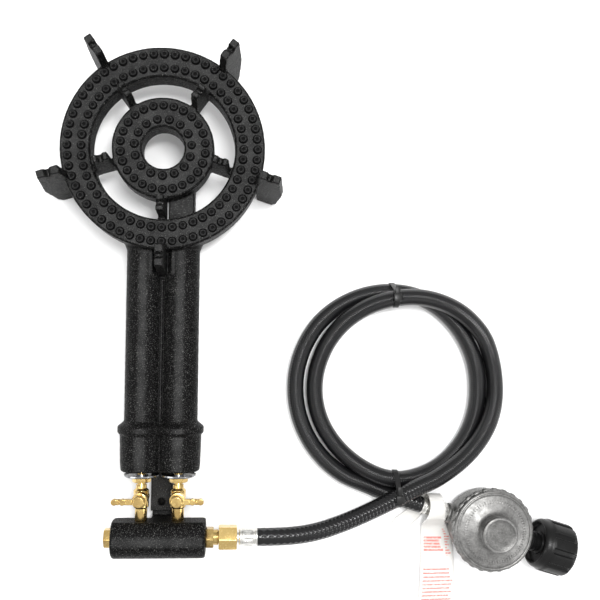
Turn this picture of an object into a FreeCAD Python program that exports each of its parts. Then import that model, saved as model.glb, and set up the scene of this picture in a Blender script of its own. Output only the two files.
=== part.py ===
import FreeCAD, Part
import math
import os

# A cast-iron double-ring propane burner with its gas cocks, manifold, hose and regulator.
# Millimetres, +Z up. The origin is on the floor under the middle of the burner's own box,
# +Y points from the manifold towards the ring head.

V = FreeCAD.Vector
os.makedirs("parts", exist_ok=True)

# ---- driving dimensions -------------------------------------------------------------------
HALF_LENGTH = 223.0
RING_BOTTOM, RING_TOP = 39.0, 60.0
RING_WALL, RING_DECK = 4.0, 4.5
OUTER_RING = (62.0, 88.0)
INNER_RING = (18.2, 44.0)
PORT_ROWS = {"outer_ring": ((81.3, 56), (69.4, 48)), "inner_ring": ((36.5, 26), (24.6, 15))}
PORT_HOLE_R, PORT_FOOT_R, PORT_LIP_R, PORT_HEIGHT = 1.2, 3.1, 2.3, 2.2
SPOKE_ANGLES = [54.0, 126.0, 198.0, 270.0, 342.0]
SUPPORT_TOP, INNER_SUPPORT_TOP = 84.0, 82.0
SUPPORT_THICK, SPOKE_THICK = 7.0, 6.5
SUPPORT_REACH = 110.0                # widest radius of the outer supports, at two thirds of the way down

FRONT = math.radians(SPOKE_ANGLES[0])
HEAD_Y = HALF_LENGTH - SUPPORT_REACH * math.sin(FRONT) - SUPPORT_THICK / 2 * math.cos(FRONT)

AXIS_Z = 38.0                       # height of the mixing tubes, cocks and manifold
TUBE_X, TUBE_R, TUBE_BORE = 16.0, 16.0, 11.5
COLLAR_Y, COLLAR_R, COLLAR_LENGTH = -108.7, 21.5, 6.8
BELL_END_Y, BELL_R, BELL_MOUTH_R = -147.3, 18.8, 15.0
TONGUE_HALF, TONGUE_Z, TONGUE_END_Y = 9.6, (12.0, 21.0), -186.5
WEB_HALF, WEB_RISE = 3.5, 8.0          # the wall of iron that joins the two tubes

MANIFOLD_R, MANIFOLD_HALF, MANIFOLD_FLAT = 17.5, 40.5, 15.0
MANIFOLD_Y = -(HALF_LENGTH - MANIFOLD_R)
MANIFOLD_BORE = 6.0
LUG_Z = (5.2, 11.8)
BOLT_Y, BOLT_R = -178.5, 2.95

COCK_Y = -171.0
STEM_R, THREAD_GAP = 3.5, 0.05
SHUTTER_Y, SHUTTER_R, SHUTTER_THICK = -152.6, 15.2, 1.2
JET_Y = -145.0
LEVER_Z, LEVER_REACH, LEVER_WIDTH = (53.0, 57.0), 23.2, 4.8
KEY_TOP_R, KEY_END_R, KEY_Z = 4.3, 3.5, (29.0, 53.0)
FIT_GAP = 0.03

ADAPTER_HEX, HOSE_NUT_HEX, PLUG_HEX = 16.0, 19.0, 15.0
HOSE_R, HOSE_START_X = 7.75, 86.0
FERRULE_R = 7.6

COIL_CENTRE = (216.0, -74.5)
COIL_RADII = (67.5, 104.0)
COIL_Z = (1.3, 36.0)
TIE_WIDTH, TIE_THICK = 4.8, 1.2
LEAD_IN = [(HOSE_START_X, MANIFOLD_Y, AXIS_Z), (111, MANIFOLD_Y, AXIS_Z), (138, -202.6, 35.4),
           (164, -195.2, 31.2), (188, -185.8, 28.6), (210, -175.6, 27.8), (230, -165.2, 27.0)]

REG_CENTRE = (298.0, -201.5)
REG_ANGLE = -17.0                   # the way the inlet points, about +Z
INLET_Z, OUTLET_Z = 24.5, 13.0
CASE_R, FLANGE_R, COVER_R, CAP_R = 33.0, 37.0, 35.5, 16.0
NUT_R, NUT_START, NUT_LENGTH = 22.6, 45.8, 30.0
NUT_BORE, NUT_HUB_R, NUT_HUB = 7.2, 9.2, 8.0     # the hub stands out behind the nut, round the nipple
NUT_RIBS, NUT_CAVITY_R = 10, 16.8
NIPPLE_R, NOSE_R = 6.5, 6.0
TAG_X, TAG_WIDTH, TAG_THICK = 238.0, 25.0, 0.6
TAG_SHEET = ((239.0, -300.0), (275.0, -212.0))   # the wide part of the tag, flat on the floor


# ---- small builders -----------------------------------------------------------------------
def save(name, *solids):
    shape = solids[0] if len(solids) == 1 else Part.makeCompound(list(solids))
    shape.exportStep("parts/%s.step" % name)


def rod(radius, start, way, length):
    return Part.makeCylinder(radius, length, V(*start), V(*way))


def cone(r0, r1, start, way, length):
    return Part.makeCone(r0, r1, length, V(*start), V(*way))


def block(low, high):
    return Part.makeBox(high[0] - low[0], high[1] - low[1], high[2] - low[2], V(*low))


def prism(points, way):
    corners = [V(*p) for p in points]
    return Part.Face(Part.makePolygon(corners + corners[:1])).extrude(V(*way))


def aim(shape, start, way):
    """Carry a shape modelled about +Z from the origin to start, with its +Z along way."""
    shape.Placement = FreeCAD.Placement(V(*start), FreeCAD.Rotation(V(0, 0, 1), V(*way)))
    return shape


def turned(profile, start, way=(0, 0, 1)):
    """A solid of revolution from (radius, height) corners."""
    corners = [V(r, 0, z) for r, z in profile]
    face = Part.Face(Part.makePolygon(corners + corners[:1]))
    return aim(face.revolve(V(0, 0, 0), V(0, 0, 1), 360), start, way)


def hexagon(across_flats, start, way, length, turn=0.0):
    """A hexagonal bar with its end corners turned off."""
    corner = across_flats / math.sqrt(3)
    ring = [(corner * math.cos(math.radians(60 * k + turn)),
             corner * math.sin(math.radians(60 * k + turn)), 0) for k in range(6)]
    bevel = 0.6
    dome = turned([(0, 0), (corner - bevel, 0), (corner, bevel), (corner, length - bevel),
                   (corner - bevel, length), (0, length)], (0, 0, 0))
    return aim(prism(ring, (0, 0, length)).common(dome), start, way)


def polar(radius, degrees, z=0.0):
    angle = math.radians(degrees)
    return (radius * math.cos(angle), HEAD_Y + radius * math.sin(angle), z)


def radial_plate(outline, degrees, thick):
    """A plate standing on a radius of the head: outline is (radius, height) corners."""
    plate = prism([(r, -thick / 2, z) for r, z in outline], (0, thick, 0))
    plate.rotate(V(0, 0, 0), V(0, 0, 1), degrees)
    plate.translate(V(0, HEAD_Y, 0))
    return plate


# ---- ring head ----------------------------------------------------------------------------
def ring(name, radii):
    """A hollow ring with drilled, raised gas ports in two rows."""
    centre = (0, HEAD_Y, RING_BOTTOM)
    height = RING_TOP - RING_BOTTOM
    low, high = radii
    body = turned([(low, 0), (high, 0), (high, height), (low, height)], centre)
    channel = turned([(low + RING_WALL, RING_DECK), (high - RING_WALL, RING_DECK),
                      (high - RING_WALL, height - RING_DECK),
                      (low + RING_WALL, height - RING_DECK)], centre)
    bosses, holes = [], []
    for radius, count in PORT_ROWS[name]:
        for k in range(count):
            at = polar(radius, 360.0 * k / count + 270.0, RING_TOP)
            bosses.append(cone(PORT_FOOT_R, PORT_LIP_R, at, (0, 0, 1), PORT_HEIGHT))
            under = (at[0], at[1], RING_TOP - RING_DECK - 1)
            holes.append(rod(PORT_HOLE_R, under, (0, 0, 1), RING_DECK + PORT_HEIGHT + 2))
    return body.cut(channel).fuse(bosses).cut(Part.makeCompound(holes))


def riser(name):
    """The way up from a mixing tube into its ring's gas channel."""
    x, reach, radius = {"outer_ring": (-TUBE_X, 75.0, 7.5), "inner_ring": (TUBE_X, 27.0, 6.5)}[name]
    return rod(radius, (x, HEAD_Y - reach, AXIS_Z - 2), (0, 0, 1), RING_BOTTOM + 8 - AXIS_Z)


def outer_support(degrees):
    """A tall fin on the rim: notched pot rest on top, foot on the floor."""
    outline = [(88.5, 0), (103.5, 0), (107, 8), (SUPPORT_REACH, 42), (105, SUPPORT_TOP),
               (98.5, SUPPORT_TOP), (97.5, SUPPORT_TOP - 3.5), (94.5, SUPPORT_TOP - 3.5),
               (93.5, SUPPORT_TOP), (86.5, SUPPORT_TOP), (84.5, RING_TOP + 3), (84.5, 36), (87, 20)]
    fin = radial_plate(outline, degrees, SUPPORT_THICK)
    return fin.cut(rod(OUTER_RING[1], (0, HEAD_Y, RING_BOTTOM), (0, 0, 1), RING_TOP - RING_BOTTOM))


def inner_support(degrees):
    """A spoke between the rings that carries a small notched pot rest."""
    outline = [(43.0, 43.5), (63.0, 43.5), (63.0, 57.5), (60.0, 60), (58.5, INNER_SUPPORT_TOP),
               (54.5, INNER_SUPPORT_TOP), (53.8, INNER_SUPPORT_TOP - 3), (50.6, INNER_SUPPORT_TOP - 3),
               (49.8, INNER_SUPPORT_TOP), (45.5, INNER_SUPPORT_TOP), (44.6, 60), (43.0, 57.5)]
    fin = radial_plate(outline, degrees, SPOKE_THICK)
    gap = turned([(INNER_RING[1], 0), (OUTER_RING[0], 0), (OUTER_RING[0], 100),
                  (INNER_RING[1], 100)], (0, HEAD_Y, 0))
    return fin.common(gap)


def web():
    """The wall between the two tubes, from the collar to the rings."""
    return block((-WEB_HALF, COLLAR_Y - 1, AXIS_Z - WEB_RISE), (WEB_HALF, HEAD_Y - 66, AXIS_Z + WEB_RISE))


def mixing_tubes():
    """Two cast tubes side by side with bell mouths: left half, right half, and the foot under them."""
    solids, bores = [], []
    for side, far in ((-1, 64.0), (1, 62.5)):
        x = side * TUBE_X
        length = HEAD_Y - far - COLLAR_Y
        solids.append(rod(TUBE_R, (x, COLLAR_Y, AXIS_Z), (0, 1, 0), length))
        bell = [(0, 0), (BELL_R - 1.2, 0), (BELL_R - 0.5, 0.8), (BELL_R, 6),
                (BELL_R + 0.7, COLLAR_Y - COLLAR_LENGTH - BELL_END_Y),
                (COLLAR_R, COLLAR_Y - COLLAR_LENGTH + 1.5 - BELL_END_Y),
                (COLLAR_R, COLLAR_Y - BELL_END_Y), (TUBE_R, COLLAR_Y + 4.5 - BELL_END_Y),
                (0, COLLAR_Y + 4.5 - BELL_END_Y)]
        solids.append(turned(bell, (x, BELL_END_Y, AXIS_Z), (0, 1, 0)))
        bores.append(cone(BELL_MOUTH_R, TUBE_BORE, (x, BELL_END_Y, AXIS_Z), (0, 1, 0), 30))
        bores.append(rod(TUBE_BORE, (x, BELL_END_Y + 29, AXIS_Z), (0, 1, 0),
                         HEAD_Y - far - RING_WALL - BELL_END_Y - 29))
    duct_low = (TUBE_X - 11, HEAD_Y - 64, AXIS_Z - 14)
    duct_high = (TUBE_X + 11, HEAD_Y - 20, AXIS_Z + 12)
    solids.append(block(duct_low, duct_high))
    bores.append(rod(7.5, (TUBE_X, HEAD_Y - 66, AXIS_Z - 3), (0, 1, 0), 42))
    solids.append(block((-7, BELL_END_Y + 1, AXIS_Z - 17), (7, COLLAR_Y, AXIS_Z + 9)))
    solids.append(web())
    shape = solids[0].fuse(solids[1:])
    foot = block((-5, -141.5, 0), (5, -119.5, AXIS_Z - 14))
    tongue = block((-TONGUE_HALF, TONGUE_END_Y, TONGUE_Z[0]), (TONGUE_HALF, -126.5, TONGUE_Z[1]))
    foot = foot.fuse(tongue).cut(shape).cut(rod(BOLT_R + FIT_GAP, (0, BOLT_Y, 0), (0, 0, 1), 30))
    shape = shape.cut(Part.makeCompound(bores))
    ring_height = RING_TOP - RING_BOTTOM
    for radii in (OUTER_RING, INNER_RING):
        room = turned([(radii[0], 0), (radii[1], 0), (radii[1], ring_height), (radii[0], ring_height)],
                      (0, HEAD_Y, RING_BOTTOM))
        shape = shape.cut(room)
    shape = shape.cut(rod(INNER_RING[0] + 1.5, (0, HEAD_Y, 0), (0, 0, 1), 60))
    for name in PORT_ROWS:
        shape = shape.cut(riser(name))
    left = shape.common(block((-60, -200, -5), (0, 200, 90)))
    right = shape.common(block((0, -200, -5), (60, 200, 90)))
    return left, right, foot


left_tube, right_tube, rear_foot = mixing_tubes()
outer = [outer_support(a) for a in SPOKE_ANGLES]
spokes = [inner_support(a) for a in SPOKE_ANGLES]
tube_room = Part.makeCompound([rod(TUBE_R, (x, -100, AXIS_Z), (0, 1, 0), HEAD_Y + 30)
                               for x in (-TUBE_X, TUBE_X)] + [web()])
outer = [fin.cut(tube_room) for fin in outer]
spokes = [fin.cut(block((TUBE_X - 11, HEAD_Y - 66, 20), (TUBE_X + 11, HEAD_Y - 20, AXIS_Z + 12)))
          for fin in spokes]
save("outer_ring", ring("outer_ring", OUTER_RING).cut(riser("outer_ring")))
save("inner_ring", ring("inner_ring", INNER_RING).cut(riser("inner_ring")))
save("outer_pot_supports", *[s for fin in outer for s in fin.Solids])
save("spoke_pot_supports", *[s for fin in spokes for s in fin.Solids])
save("left_mixing_tube", left_tube)
save("right_mixing_tube", right_tube)
save("rear_foot", rear_foot)


# ---- manifold -----------------------------------------------------------------------------
def manifold():
    """A gas rail: a round bar with one flat for the cocks and a lug for its bolt."""
    end = 2.5
    bar = turned([(0, 0), (MANIFOLD_R - end, 0), (MANIFOLD_R - 0.7, 0.7), (MANIFOLD_R, end),
                  (MANIFOLD_R, 2 * MANIFOLD_HALF - end), (MANIFOLD_R - 0.7, 2 * MANIFOLD_HALF - 0.7),
                  (MANIFOLD_R - end, 2 * MANIFOLD_HALF), (0, 2 * MANIFOLD_HALF)],
                 (-MANIFOLD_HALF, MANIFOLD_Y, AXIS_Z), (1, 0, 0))
    flat_y = MANIFOLD_Y + MANIFOLD_FLAT
    bar = bar.cut(block((-60, flat_y, 0), (60, flat_y + 20, 80)))
    lug = block((-9, flat_y - 18, LUG_Z[0]), (9, BOLT_Y + 8, LUG_Z[1]))
    web = block((-9, flat_y - 18, LUG_Z[1] - 1), (9, flat_y - 2, AXIS_Z - 8))
    shape = bar.fuse([lug, web])
    cuts = [rod(MANIFOLD_BORE, (-60, MANIFOLD_Y, AXIS_Z), (1, 0, 0), 120),
            rod(BOLT_R + 0.4, (0, BOLT_Y, 0), (0, 0, 1), 30)]
    for x in (-TUBE_X, TUBE_X):
        cuts.append(rod(5.0, (x, MANIFOLD_Y, AXIS_Z), (0, 1, 0), 30))
    return shape.cut(Part.makeCompound(cuts))


def end_plug():
    head = hexagon(PLUG_HEX, (-MANIFOLD_HALF - 6.5, MANIFOLD_Y, AXIS_Z), (1, 0, 0), 6.5)
    return head.fuse(rod(MANIFOLD_BORE, (-MANIFOLD_HALF, MANIFOLD_Y, AXIS_Z), (1, 0, 0), 10))


def inlet_adapter():
    """A brass union: thread in the manifold, hexagon, neck and a flare cone for the hose nut."""
    x = MANIFOLD_HALF
    solids = [rod(MANIFOLD_BORE, (x - 10, MANIFOLD_Y, AXIS_Z), (1, 0, 0), 11),
              hexagon(ADAPTER_HEX, (x, MANIFOLD_Y, AXIS_Z), (1, 0, 0), 6.8),
              rod(6.6, (x + 6.8, MANIFOLD_Y, AXIS_Z), (1, 0, 0), 4.2),
              rod(5.6, (x + 11, MANIFOLD_Y, AXIS_Z), (1, 0, 0), 10)]
    shape = solids[0].fuse(solids[1:])
    return shape.cut(rod(3.5, (x - 12, MANIFOLD_Y, AXIS_Z), (1, 0, 0), 40))


def manifold_bolt():
    head = hexagon(10.0, (0, BOLT_Y, 1.2), (0, 0, 1), LUG_Z[0] - 1.2)
    return head.fuse(rod(BOLT_R, (0, BOLT_Y, LUG_Z[0] - 0.5), (0, 0, 1), TONGUE_Z[1] - LUG_Z[0] - 0.5))


save("manifold", manifold())
save("manifold_end_plug", end_plug())
save("inlet_adapter", inlet_adapter())
save("manifold_bolt", manifold_bolt())


# ---- gas cocks, levers, air shutters and jets ---------------------------------------------
def cock_body(x):
    """A brass gas cock: threaded tail, barrel with an upright key boss, and a long stem."""
    flat_y = MANIFOLD_Y + MANIFOLD_FLAT
    profile = [(0, -7), (5.0, -7), (5.0, 0), (5.3, 0), (5.3, 10.5), (6.65, 12), (6.65, 26),
               (4.65, 28), (4.65, 31.0), (STEM_R, 31.0), (STEM_R, JET_Y - flat_y), (0, JET_Y - flat_y)]
    body = turned(profile, (x, flat_y, AXIS_Z), (0, 1, 0))
    boss = rod(6.4, (x, COCK_Y, 31.0), (0, 0, 1), 20.5)
    bore = rod(2.2, (x, flat_y - 8, AXIS_Z), (0, 1, 0), 60)
    gap = KEY_TOP_R + FIT_GAP, KEY_END_R + FIT_GAP
    seat = cone(gap[1], gap[0], (x, COCK_Y, KEY_Z[0]), (0, 0, 1), KEY_Z[1] - KEY_Z[0])
    return body.fuse(boss).cut(bore).cut(seat)


def cock_key(x):
    """The tapered plug that turns in the cock, drilled across: shut while the lever is out."""
    key = cone(KEY_END_R, KEY_TOP_R, (x, COCK_Y, KEY_Z[0]), (0, 0, 1), KEY_Z[1] - KEY_Z[0])
    tail = rod(2.0, (x, COCK_Y, KEY_Z[0] - 4.5), (0, 0, 1), 5)
    return key.fuse(tail).cut(rod(1.8, (x - 8, COCK_Y, AXIS_Z), (1, 0, 0), 16))


def cock_lever(x):
    """A flat brass handle: hub on the key, arm outward, two knobs at the tip."""
    side = 1 if x > 0 else -1
    z0, z1 = LEVER_Z
    hub = turned([(0, 0), (5.4, 0), (5.4, 4.4), (4.2, 5.6), (0, 5.6)], (x, COCK_Y, z0))
    half = LEVER_WIDTH / 2
    arm = block((0, -half, 0), (LEVER_REACH - 3, half, z1 - z0))
    arm = arm.cut(rod(1.0, (LEVER_REACH - 7.5, -half, z1 - z0), (0, 1, 0), LEVER_WIDTH))
    knobs = [rod(half + 0.3, (r, 0, 0), (0, 0, 1), 4.6) for r in (LEVER_REACH - 9.6, LEVER_REACH - 2.7)]
    arm = arm.fuse(knobs)
    if side < 0:
        arm.rotate(V(0, 0, 0), V(0, 0, 1), 180)
    arm.translate(V(x, COCK_Y, z0))
    return hub.fuse(arm)


def shutter(x):
    """A chromed air shutter disc, slightly dished, with a threaded hub."""
    r, t = SHUTTER_R, SHUTTER_THICK
    bore = STEM_R + THREAD_GAP
    profile = [(bore, 0), (r - 1.2, 0), (r, 0.9), (r, 0.9 + t), (r - 1.6, t), (5.5, t),
               (5.5, t + 1.0), (bore, t + 1.0)]
    return turned(profile, (x, SHUTTER_Y, AXIS_Z), (0, 1, 0))


def lock_nut(x):
    nut = hexagon(14.2, (x, SHUTTER_Y - 4.8, AXIS_Z), (0, 1, 0), 4.6)
    return nut.cut(rod(STEM_R + THREAD_GAP, (x, SHUTTER_Y - 6, AXIS_Z), (0, 1, 0), 8))


def jet(x):
    """The brass gas jet on the stem's end, blowing into the bell mouth."""
    nose = turned([(0.6, 0), (4.4, 0), (4.4, 3.5), (2.6, 6.5), (0.6, 6.5)], (x, JET_Y, AXIS_Z), (0, 1, 0))
    return nose


def key_nut(x):
    """The small nut and washer that hold the key up in its taper."""
    washer = rod(4.6, (x, COCK_Y, 28.2), (0, 0, 1), 0.7)
    nut = hexagon(7.0, (x, COCK_Y, 25.0), (0, 0, 1), 3.2)
    return washer.fuse(nut).cut(rod(2.0, (x, COCK_Y, 20), (0, 0, 1), 12))


for name, x in (("left", -TUBE_X), ("right", TUBE_X)):
    save(name + "_cock_body", cock_body(x))
    save(name + "_cock_key", cock_key(x))
    save(name + "_cock_lever", cock_lever(x).cut(cone(3.5, 4.3, (x, COCK_Y, 29.0), (0, 0, 1), 24)))
    save(name + "_key_nut", key_nut(x))
    save(name + "_air_shutter", shutter(x))
    save(name + "_lock_nut", lock_nut(x))
    save(name + "_gas_jet", jet(x))


# ---- hose ---------------------------------------------------------------------------------
def hose_nut():
    """The swivel flare nut: it hides the adapter's cone and turns on the hose stem."""
    x = MANIFOLD_HALF + 11.4
    nut = hexagon(HOSE_NUT_HEX, (x, MANIFOLD_Y, AXIS_Z), (1, 0, 0), 15.9)
    return nut.cut(rod(5.7, (x - 1, MANIFOLD_Y, AXIS_Z), (1, 0, 0), 20))


def hose_stem():
    """The crimped-in steel stem: a shoulder against the adapter's cone, and a bead by the ferrule."""
    x = MANIFOLD_HALF + 21.0
    tube = rod(5.6, (x, MANIFOLD_Y, AXIS_Z), (1, 0, 0), 8.1)
    return tube.cut(rod(3.5, (x - 1, MANIFOLD_Y, AXIS_Z), (1, 0, 0), 20))


def ferrule(start, way, length):
    """A crimped sleeve: waisted between plain ends."""
    r = FERRULE_R
    profile = [(0, 0), (r - 0.9, 0), (r - 0.4, 0.8), (r - 0.4, 3.0), (r, 4.0), (r, length - 4.5),
               (r - 0.6, length - 3.5), (r - 0.6, length - 2.2), (r, length - 1.4), (r, length),
               (0, length)]
    return turned(profile, start, way)


def cord_tube(points):
    """Straight runs joined by tangent arcs, each arc as large as its two runs allow."""
    pts = [V(*p) for p in points]
    edges, at, length = [], pts[0], 0.0
    for a, b, c in zip(pts, pts[1:], pts[2:]):
        into, out = (b - a).normalize(), (c - b).normalize()
        half = into.getAngle(out) / 2
        cut = 0.45 * min((b - a).Length, (c - b).Length)
        bend = cut / math.tan(half)
        start, end = b - into * cut, b + out * cut
        inward = (out - into).normalize()
        middle = b + inward * (bend / math.cos(half) - bend)
        edges.append(Part.LineSegment(at, start).toShape())
        edges.append(Part.Arc(start, middle, end).toShape())
        length += (start - at).Length + bend * 2 * half
        print("cord bend radius %.1f mm, turn %.1f degrees" % (bend, math.degrees(2 * half)))
        at = end
    edges.append(Part.LineSegment(at, pts[-1]).toShape())
    length += (pts[-1] - at).Length
    section = Part.Wire(Part.makeCircle(HOSE_R, pts[0], pts[1] - pts[0]))
    tube = Part.Wire(edges).makePipeShell([section], True, True)
    print("cord length %.1f mm, volume ratio %.4f"
          % (length, tube.Volume / (length * math.pi * HOSE_R ** 2)))
    return tube


def hose_coil():
    """The outer shape of the two tied turns of hose."""
    low, high = COIL_RADII
    z0, z1 = COIL_Z
    ease = 6.0
    profile = [(low + ease, z0), (high - ease, z0), (high, z0 + ease), (high, z1 - ease),
               (high - ease, z1), (low + ease, z1), (low, z1 - ease), (low, z0 + ease)]
    return turned(profile, (COIL_CENTRE[0], COIL_CENTRE[1], 0))


def cable_tie(x, y0, y1, top):
    """A flat band round the strands, with its square lock head on top."""
    z0 = 0.1
    t = TIE_THICK
    band = block((x, y0, z0), (x + TIE_WIDTH, y1, top)).cut(
        block((x - 1, y0 + t, z0 + t), (x + TIE_WIDTH + 1, y1 - t, top - t)))
    head = block((x - 1.2, y0 + 3, top - 0.1), (x + TIE_WIDTH + 1.2, y0 + 9, top + 3.2))
    return band.fuse(head)


def along(distance, z, degrees=REG_ANGLE):
    """A point on the regulator's centre line, at a distance from its middle."""
    angle = math.radians(degrees)
    return (REG_CENTRE[0] + distance * math.cos(angle), REG_CENTRE[1] + distance * math.sin(angle), z)


INLET_WAY = (math.cos(math.radians(REG_ANGLE)), math.sin(math.radians(REG_ANGLE)), 0)
OUTLET_WAY = (-INLET_WAY[0], -INLET_WAY[1], 0)
LEAD_OUT = [(185, -164.6, 9.3), (203, -172.0, 9.4), along(-80.0, OUTLET_Z), along(-62.0, OUTLET_Z)]

save("hose_nut", hose_nut())
save("hose_stem", hose_stem())
save("inlet_ferrule", ferrule((MANIFOLD_HALF + 29.1, MANIFOLD_Y, AXIS_Z), (1, 0, 0),
                              HOSE_START_X - MANIFOLD_HALF - 29.1))
save("hose_lead_in", cord_tube(LEAD_IN))
save("hose_lead_out", cord_tube(LEAD_OUT))
save("hose_coil", hose_coil())
save("top_cable_tie", cable_tie(209.0, -2.5, 25.0, 36.6))
save("bottom_cable_tie", cable_tie(211.0, -187.5, -156.5, 37.8))


# ---- warning tag --------------------------------------------------------------------------
def warning_tag():
    """A blank strip hung over the hose end, lying on the floor in front of it."""
    path = [(-300, 0.3), (-209, 0.5), (-202.5, 12), (-199, 20), (-195, 22.6), (-178.5, 22.6)]
    t = TAG_THICK
    under = [(TAG_X, y, z) for y, z in path]
    over = [(TAG_X, y, z + t) for y, z in reversed(path)]
    (x0, y0), (x1, y1) = TAG_SHEET
    sheet = block((x0, y0, 0.3), (x1, y1, 0.3 + t))
    return prism(under + over, (TAG_WIDTH, 0, 0)).fuse(sheet)


# ---- regulator ----------------------------------------------------------------------------
def case():
    """The die-cast lower half: a bowl with a flange, an inlet boss and an outlet boss."""
    centre = (REG_CENTRE[0], REG_CENTRE[1], 0)
    bowl = turned([(0, 0), (22, 0), (24, 3), (30, 5), (CASE_R, 9), (CASE_R, 31), (FLANGE_R, 32),
                   (FLANGE_R, 36), (0, 36)], centre)
    bosses = [rod(11.0, along(26, INLET_Z), INLET_WAY, 11), rod(9.0, along(-26, OUTLET_Z), OUTLET_WAY, 11)]
    room = turned([(0, 5), (26, 5), (29, 8), (29, 36), (0, 36)], centre)
    ways = [rod(NIPPLE_R, along(25, INLET_Z), INLET_WAY, 16), rod(4.0, along(-25, OUTLET_Z), OUTLET_WAY, 16)]
    return bowl.fuse(bosses).cut(room).cut(Part.makeCompound(ways))


def cover():
    """The top half: a shallow cone with a spring tower in its middle."""
    profile = [(COVER_R, 37.2), (COVER_R, 39.5), (33.0, 40.2), (31.0, 41.0), (18.5, 44.0), (16.2, 45.6),
               (15.4, 51.0), (12.5, 51.0), (12.5, 44.0), (28.0, 39.4), (29.0, 37.2)]
    return turned(profile, (REG_CENTRE[0], REG_CENTRE[1], 0))


def hand_nut():
    """The black grip nut: fluted outside, open towards the gas cylinder, turning on the nipple."""
    start, length = NUT_START, NUT_LENGTH
    shell = turned([(NUT_BORE, -NUT_HUB), (NUT_HUB_R, -NUT_HUB), (NUT_HUB_R, 0), (NUT_R - 4, 0), (NUT_R - 1, 2.5), (NUT_R, 6), (NUT_R, length - 4),
                    (NUT_R - 2.5, length), (NUT_CAVITY_R, length), (NUT_CAVITY_R, 5), (NUT_BORE, 5)], (0, 0, 0))
    ribs = []
    for k in range(NUT_RIBS):
        rib = block((NUT_R - 2, -2.6, 5), (NUT_R + 1.2, 2.6, length - 3))
        rib.rotate(V(0, 0, 0), V(0, 0, 1), 360.0 * k / NUT_RIBS)
        ribs.append(rib)
    return aim(shell.fuse(ribs), along(start, INLET_Z), INLET_WAY)


def nipple():
    """The brass inlet nipple, with the collar that keeps the nut on it."""
    profile = [(2.5, 0), (NIPPLE_R, 0), (NIPPLE_R, 20), (10.0, 20), (10.0, 23), (NOSE_R, 23),
               (NOSE_R, 35.5), (2.5, 35.5)]
    return turned(profile, along(31.0, INLET_Z), INLET_WAY)


def disc(radius, z0, z1, hole=0.0):
    profile = [(hole, z0), (radius, z0), (radius, z1), (hole, z1)]
    return turned(profile, (REG_CENTRE[0], REG_CENTRE[1], 0))


def outlet_fitting():
    hexa = hexagon(14.0, along(-37.0, OUTLET_Z), OUTLET_WAY, 5.5, 30)
    parts = [rod(4.0, along(-29.0, OUTLET_Z), OUTLET_WAY, 9), rod(5.6, along(-42.0, OUTLET_Z), OUTLET_WAY, 2.0)]
    return hexa.fuse(parts).cut(rod(2.6, along(-28, OUTLET_Z), OUTLET_WAY, 20))


save("warning_tag", warning_tag())
save("regulator_case", case())
save("regulator_cover", cover())
save("diaphragm", disc(COVER_R, 36.1, 37.1))
save("diaphragm_plate", disc(20.0, 37.2, 38.4))
save("regulator_spring", disc(10.0, 38.5, 49.4, 8.6))
save("spring_adjuster", disc(12.4, 49.5, 51.2, 3.0))
save("vent_cap", turned([(0, 51.1 + 0.2), (CAP_R, 51.3), (CAP_R, 53.6), (CAP_R - 1.0, 54.6),
                         (CAP_R - 2.2, 54.6), (CAP_R - 2.8, 54.1), (0, 54.1)],
                        (REG_CENTRE[0], REG_CENTRE[1], 0)))
save("valve_lever", block((REG_CENTRE[0] - 14, REG_CENTRE[1] - 3, 26.0),
                          (REG_CENTRE[0] + 16, REG_CENTRE[1] + 3, 28.0)))
save("outlet_fitting", outlet_fitting())
save("outlet_ferrule", ferrule(along(-44.0, OUTLET_Z), OUTLET_WAY, 18.0))
save("inlet_nipple", nipple())
save("nipple_seal", turned([(2.5, 0), (5.4, 0), (5.4, 2.0), (2.5, 2.0)], along(66.6, INLET_Z), INLET_WAY))
save("hand_nut", hand_nut())
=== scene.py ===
"""Looks for the ring-headed gas burner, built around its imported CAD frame. Metres, same frame as the CAD."""
import math

import bmesh
import bpy
import numpy as np
from mathutils import Matrix, Vector


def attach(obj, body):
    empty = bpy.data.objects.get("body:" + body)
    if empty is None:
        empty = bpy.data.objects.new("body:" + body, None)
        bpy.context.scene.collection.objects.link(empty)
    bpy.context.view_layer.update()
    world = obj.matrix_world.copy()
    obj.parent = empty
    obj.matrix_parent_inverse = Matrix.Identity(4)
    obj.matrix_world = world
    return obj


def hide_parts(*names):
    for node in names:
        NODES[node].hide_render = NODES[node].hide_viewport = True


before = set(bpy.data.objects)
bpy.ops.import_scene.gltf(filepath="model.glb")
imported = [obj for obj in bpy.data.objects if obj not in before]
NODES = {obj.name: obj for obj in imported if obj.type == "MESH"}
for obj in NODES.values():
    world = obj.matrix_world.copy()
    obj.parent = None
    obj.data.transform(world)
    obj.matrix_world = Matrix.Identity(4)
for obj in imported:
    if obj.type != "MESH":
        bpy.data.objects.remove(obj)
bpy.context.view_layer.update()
ROOT = "root"
MM = 0.001

# ---- dimensions repeated from the CAD source, in millimetres --------------------------------
HALF_LENGTH = 223.0                               # largest y, at the tips of two outer supports
SUPPORT_REACH, SUPPORT_THICK = 110.0, 7.0
SUPPORT_BEARING = math.radians(54)                # of one of those two, from the X axis
HEAD_Y = (HALF_LENGTH - SUPPORT_REACH * math.sin(SUPPORT_BEARING)
          - SUPPORT_THICK / 2 * math.cos(SUPPORT_BEARING))
RING_BOTTOM, RING_TOP = 39.0, 60.0
RINGS = ((62.0, 88.0), (18.2, 44.0))              # inside and outside radius of each ring
PORT_ROWS = ((81.3, 56), (69.4, 48), (36.5, 26), (24.6, 15))      # radius of each row, and how many
FIRST_PORT = 270.0                                # bearing of each row's first port, in degrees
AXIS_Z, TUBE_X, TUBE_R = 38.0, 16.0, 16.0
MANIFOLD_Y, HOSE_R = -205.5, 7.75
COIL_X, COIL_Y = 216.0, -74.5
REG_X, REG_Y, REG_ANGLE = 298.0, -201.5, math.radians(-17.0)
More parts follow.
